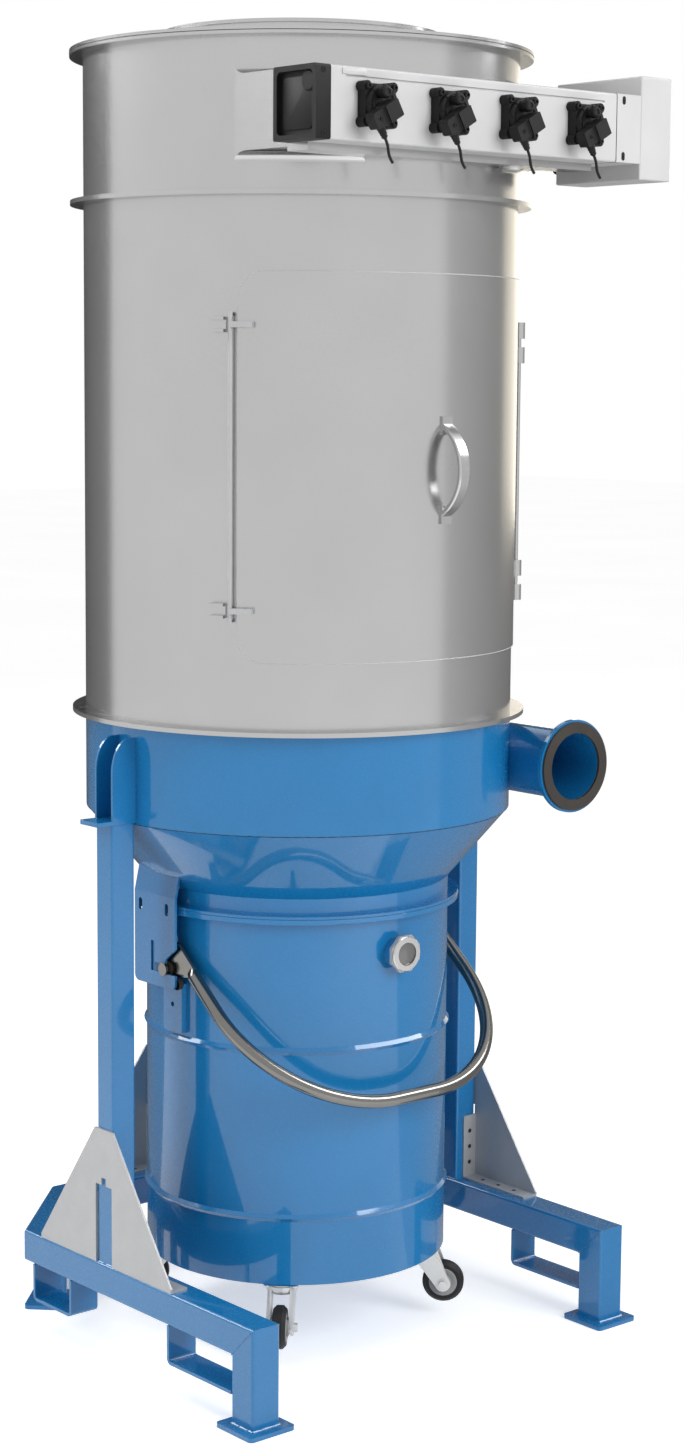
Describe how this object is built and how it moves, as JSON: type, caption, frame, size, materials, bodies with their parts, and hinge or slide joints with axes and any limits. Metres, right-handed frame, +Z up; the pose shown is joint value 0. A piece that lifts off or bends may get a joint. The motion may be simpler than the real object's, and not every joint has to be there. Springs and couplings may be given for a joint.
{
  "type": "baghouse filter",
  "caption": "Round pulse-jet bag filter on a three-post stand: hinged access door, side inlet, valve tank, and a lever-lifted dust drum on castors under its hopper.",
  "frame": {"origin": "middle of the footprint on the floor", "axes": "+Z up, -Y is the front with the access door and the valve tank, +X is the side of the inlet"},
  "size_m": [0.966, 1.021, 2.424],
  "materials": {
    "satin_steel": "satin rolled sheet",
    "galvanised": "galvanised sheet",
    "blue_paint": "glossy blue paint",
    "tank_paint": "pale grey paint",
    "black_plastic": "moulded black plastic",
    "dark_rubber": "dark rubber",
    "bail_metal": "dull drawn tube",
    "zinc": "bright zinc",
    "tyre": "rubber tyre",
    "filter_felt": "needle felt",
    "aluminium": "drawn aluminium tube"
  },
  "bodies": {
    "filter": {"air_tank": "tank_paint", "blow_pipes": "aluminium", "bottom_flange": "satin_steel", "clean_air_shell": "satin_steel", "control_box": "tank_paint", "door_brackets": "satin_steel", "door_header": "satin_steel", "door_sill": "satin_steel", "drum_seal": "dark_rubber", "filter_bags": "filter_felt", "fork_straps": "blue_paint", "gussets": "galvanised", "hopper_cone": "blue_paint", "hopper_cylinder": "blue_paint", "hopper_ears": "blue_paint", "inlet_flange": "blue_paint", "inlet_gasket": "dark_rubber", "inlet_pipe": "blue_paint", "left_skid": "blue_paint", "left_upright": "blue_paint", "left_wall": "satin_steel", "legs": "blue_paint", "lid": "satin_steel", "rear_frame": "blue_paint", "rear_upright": "blue_paint", "right_skid": "blue_paint", "right_upright": "blue_paint", "right_wall": "satin_steel", "side_plates": "blue_paint", "tank_end_cap": "black_plastic", "tank_joint_cap": "tank_paint", "tank_saddle": "galvanised", "tank_shelf": "galvanised", "top_flange": "satin_steel", "tube_sheet": "satin_steel", "valve_bodies": "black_plastic", "valve_coils": "black_plastic", "valve_lead_1": "black_plastic", "valve_lead_2": "black_plastic", "valve_lead_3": "black_plastic", "valve_lead_4": "black_plastic"},
    "door": {"door_panel": "satin_steel", "door_hinge": "satin_steel", "door_handle": "satin_steel", "latch_rod": "satin_steel"},
    "bail": {"bail": "bail_metal"},
    "drum": {"drum_wall": "blue_paint", "drum_base": "blue_paint", "drum_rim": "blue_paint", "sight_port": "blue_paint", "sight_ring": "zinc", "drum_lugs": "blue_paint"},
    "front_left_castor": {"castor_fork_front_left": "zinc"},
    "front_left_wheel": {"castor_wheel_front_left": "tyre"},
    "front_right_castor": {"castor_fork_front_right": "zinc"},
    "front_right_wheel": {"castor_wheel_front_right": "tyre"},
    "rear_right_castor": {"castor_fork_rear_right": "zinc"},
    "rear_right_wheel": {"castor_wheel_rear_right": "tyre"},
    "rear_left_castor": {"castor_fork_rear_left": "zinc"},
    "rear_left_wheel": {"castor_wheel_rear_left": "tyre"}
  },
  "joints": [
    {"name": "door_hinge", "type": "hinge", "parent": "filter", "child": "door", "pos_m": [0.3547, -0.18986, 1.64497], "axis": [0, 0, 1], "range_deg": [0, 110]},
    {"name": "drum_lower", "type": "slide", "parent": "filter", "child": "drum", "axis": [0, 0, -1], "range_m": [0, 0.026]},
    {"name": "bail_pivot", "type": "hinge", "parent": "filter", "child": "bail", "pos_m": [0, 0.0255, 0.724], "axis": [-1, 0, 0], "range_deg": [0, 49]},
    {"name": "front_left_swivel", "type": "hinge", "parent": "drum", "child": "front_left_castor", "pos_m": [-0.17678, -0.14928, 0.147], "axis": [0, 0, 1], "continuous": true},
    {"name": "front_left_roll", "type": "hinge", "parent": "front_left_castor", "child": "front_left_wheel", "pos_m": [-0.20365, -0.17615, 0.071], "axis": [0.7071, -0.7071, 0], "continuous": true},
    {"name": "front_right_swivel", "type": "hinge", "parent": "drum", "child": "front_right_castor", "pos_m": [0.17678, -0.14928, 0.147], "axis": [0, 0, 1], "continuous": true},
    {"name": "front_right_roll", "type": "hinge", "parent": "front_right_castor", "child": "front_right_wheel", "pos_m": [0.20365, -0.17615, 0.071], "axis": [0.7071, 0.7071, 0], "continuous": true},
    {"name": "rear_right_swivel", "type": "hinge", "parent": "drum", "child": "rear_right_castor", "pos_m": [0.17678, 0.20428, 0.147], "axis": [0, 0, 1], "continuous": true},
    {"name": "rear_right_roll", "type": "hinge", "parent": "rear_right_castor", "child": "rear_right_wheel", "pos_m": [0.20365, 0.23115, 0.071], "axis": [-0.7071, 0.7071, 0], "continuous": true},
    {"name": "rear_left_swivel", "type": "hinge", "parent": "drum", "child": "rear_left_castor", "pos_m": [-0.17678, 0.20428, 0.147], "axis": [0, 0, 1], "continuous": true},
    {"name": "rear_left_roll", "type": "hinge", "parent": "rear_left_castor", "child": "rear_left_wheel", "pos_m": [-0.20365, 0.23115, 0.071], "axis": [-0.7071, -0.7071, 0], "continuous": true}
  ],
  "couplings": [
    {"joint": "bail_pivot", "follows": "drum_lower", "rad_per_m": 32.221}
  ]
}
